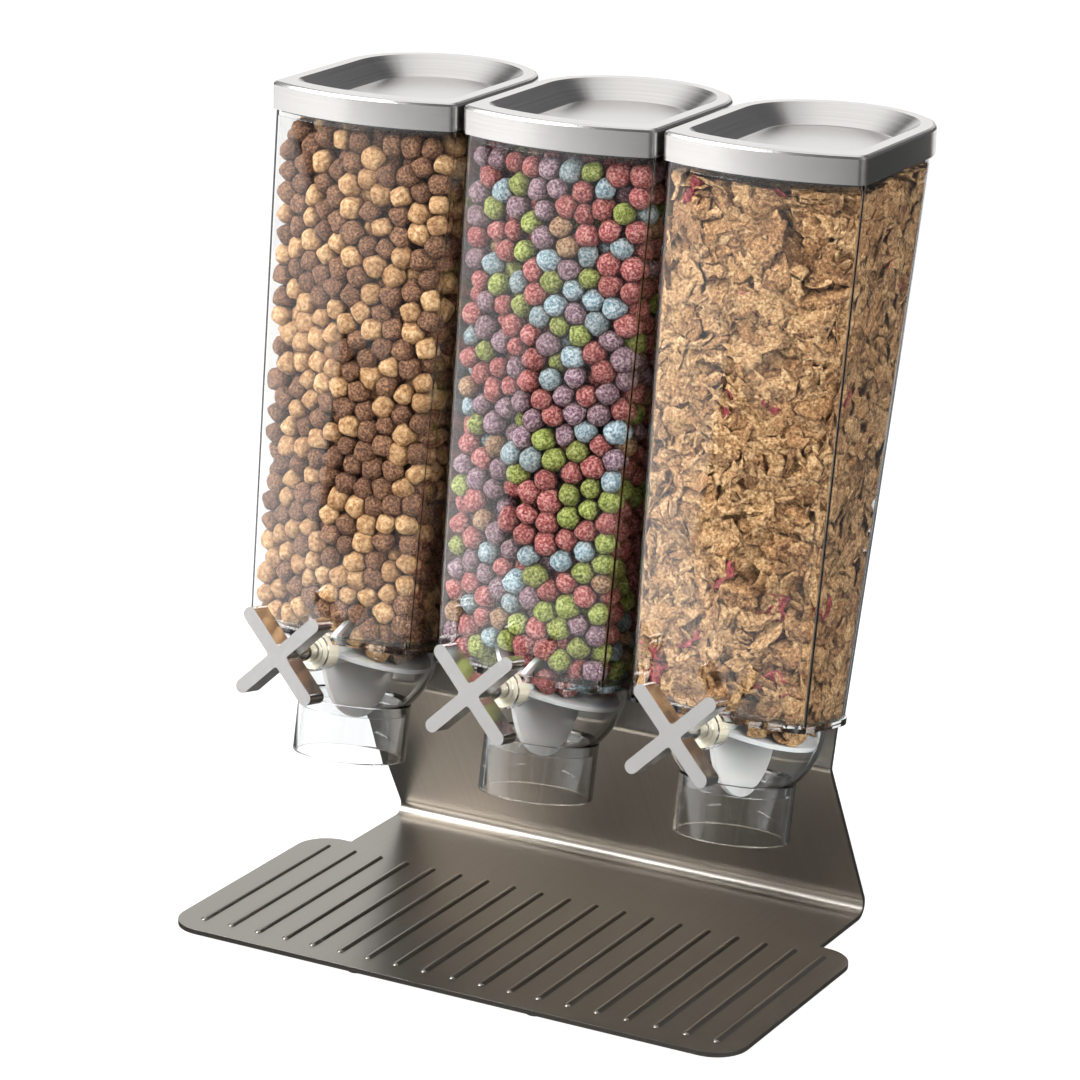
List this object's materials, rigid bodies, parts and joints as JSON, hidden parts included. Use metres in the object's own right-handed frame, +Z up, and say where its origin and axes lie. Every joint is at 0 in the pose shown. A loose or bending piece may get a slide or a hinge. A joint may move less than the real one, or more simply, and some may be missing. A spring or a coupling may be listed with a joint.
{
  "type": "cereal dispenser",
  "caption": "Counter-top dry food dispenser with clear tapered hoppers, dished steel lids, turning portion wheels on cross knobs and a bent steel stand with a ribbed tray.",
  "frame": {"origin": "centre of the bounding box's bottom face, on the surface the pads stand on", "axes": "+Z up, -Y towards the user and the knobs, +X to the user's right"},
  "size_m": [0.3866, 0.264, 0.4971],
  "materials": {
    "stand_steel": "brushed",
    "black_rubber": "matt",
    "clear_plastic": "clear, gloss",
    "ivory_plastic": "satin",
    "plain_steel": "plain",
    "polished_steel": "polished",
    "white_silicone": "satin",
    "knob_steel": "satin face, polished edges",
    "dark_steel": "plain",
    "lid_steel": "brushed",
    "grey_plastic": "satin",
    "grey_silicone": "satin"
  },
  "bodies": {
    "stand": {"stand_plate": "stand_steel", "foot_pads": "black_rubber"},
    "left_container": {"left_hopper": "clear_plastic", "left_housing": "clear_plastic", "left_spout": "clear_plastic", "left_front_seal": "ivory_plastic", "left_rear_bearing": "ivory_plastic", "left_hook_plates": "plain_steel", "left_hook_studs": "plain_steel"},
    "left_wheel": {"left_shaft": "polished_steel", "left_portion_wheel": "white_silicone", "left_knob": "knob_steel", "left_knob_screw": "dark_steel"},
    "left_lid": {"left_lid_shell": "lid_steel", "left_lid_liner": "grey_plastic", "left_lid_gasket": "grey_silicone"},
    "middle_container": {"middle_hopper": "clear_plastic", "middle_housing": "clear_plastic", "middle_spout": "clear_plastic", "middle_front_seal": "ivory_plastic", "middle_rear_bearing": "ivory_plastic", "middle_hook_plates": "plain_steel", "middle_hook_studs": "plain_steel"},
    "middle_wheel": {"middle_shaft": "polished_steel", "middle_portion_wheel": "white_silicone", "middle_knob": "knob_steel", "middle_knob_screw": "dark_steel"},
    "middle_lid": {"middle_lid_shell": "lid_steel", "middle_lid_liner": "grey_plastic", "middle_lid_gasket": "grey_silicone"},
    "right_container": {"right_hopper": "clear_plastic", "right_housing": "clear_plastic", "right_spout": "clear_plastic", "right_front_seal": "ivory_plastic", "right_rear_bearing": "ivory_plastic", "right_hook_plates": "plain_steel", "right_hook_studs": "plain_steel"},
    "right_wheel": {"right_shaft": "polished_steel", "right_portion_wheel": "white_silicone", "right_knob": "knob_steel", "right_knob_screw": "dark_steel"},
    "right_lid": {"right_lid_shell": "lid_steel", "right_lid_liner": "grey_plastic", "right_lid_gasket": "grey_silicone"}
  },
  "joints": [
    {"name": "left_container_lift", "type": "slide", "parent": "stand", "child": "left_container", "axis": [0, 0.2453, 0.9694], "range_m": [0, 0.014]},
    {"name": "left_knob_turn", "type": "hinge", "parent": "left_container", "child": "left_wheel", "pos_m": [-0.13, -0.00465, 0.156], "axis": [0, -0.9796, 0.2011], "continuous": true},
    {"name": "left_lid_lift", "type": "slide", "parent": "left_container", "child": "left_lid", "axis": [0, 0, 1], "range_m": [0, 0.03]},
    {"name": "middle_container_lift", "type": "slide", "parent": "stand", "child": "middle_container", "axis": [0, 0.2453, 0.9694], "range_m": [0, 0.014]},
    {"name": "middle_knob_turn", "type": "hinge", "parent": "middle_container", "child": "middle_wheel", "pos_m": [0, -0.00465, 0.156], "axis": [0, -0.9796, 0.2011], "continuous": true},
    {"name": "middle_lid_lift", "type": "slide", "parent": "middle_container", "child": "middle_lid", "axis": [0, 0, 1], "range_m": [0, 0.03]},
    {"name": "right_container_lift", "type": "slide", "parent": "stand", "child": "right_container", "axis": [0, 0.2453, 0.9694], "range_m": [0, 0.014]},
    {"name": "right_knob_turn", "type": "hinge", "parent": "right_container", "child": "right_wheel", "pos_m": [0.13, -0.00465, 0.156], "axis": [0, -0.9796, 0.2011], "continuous": true},
    {"name": "right_lid_lift", "type": "slide", "parent": "right_container", "child": "right_lid", "axis": [0, 0, 1], "range_m": [0, 0.03]}
  ]
}
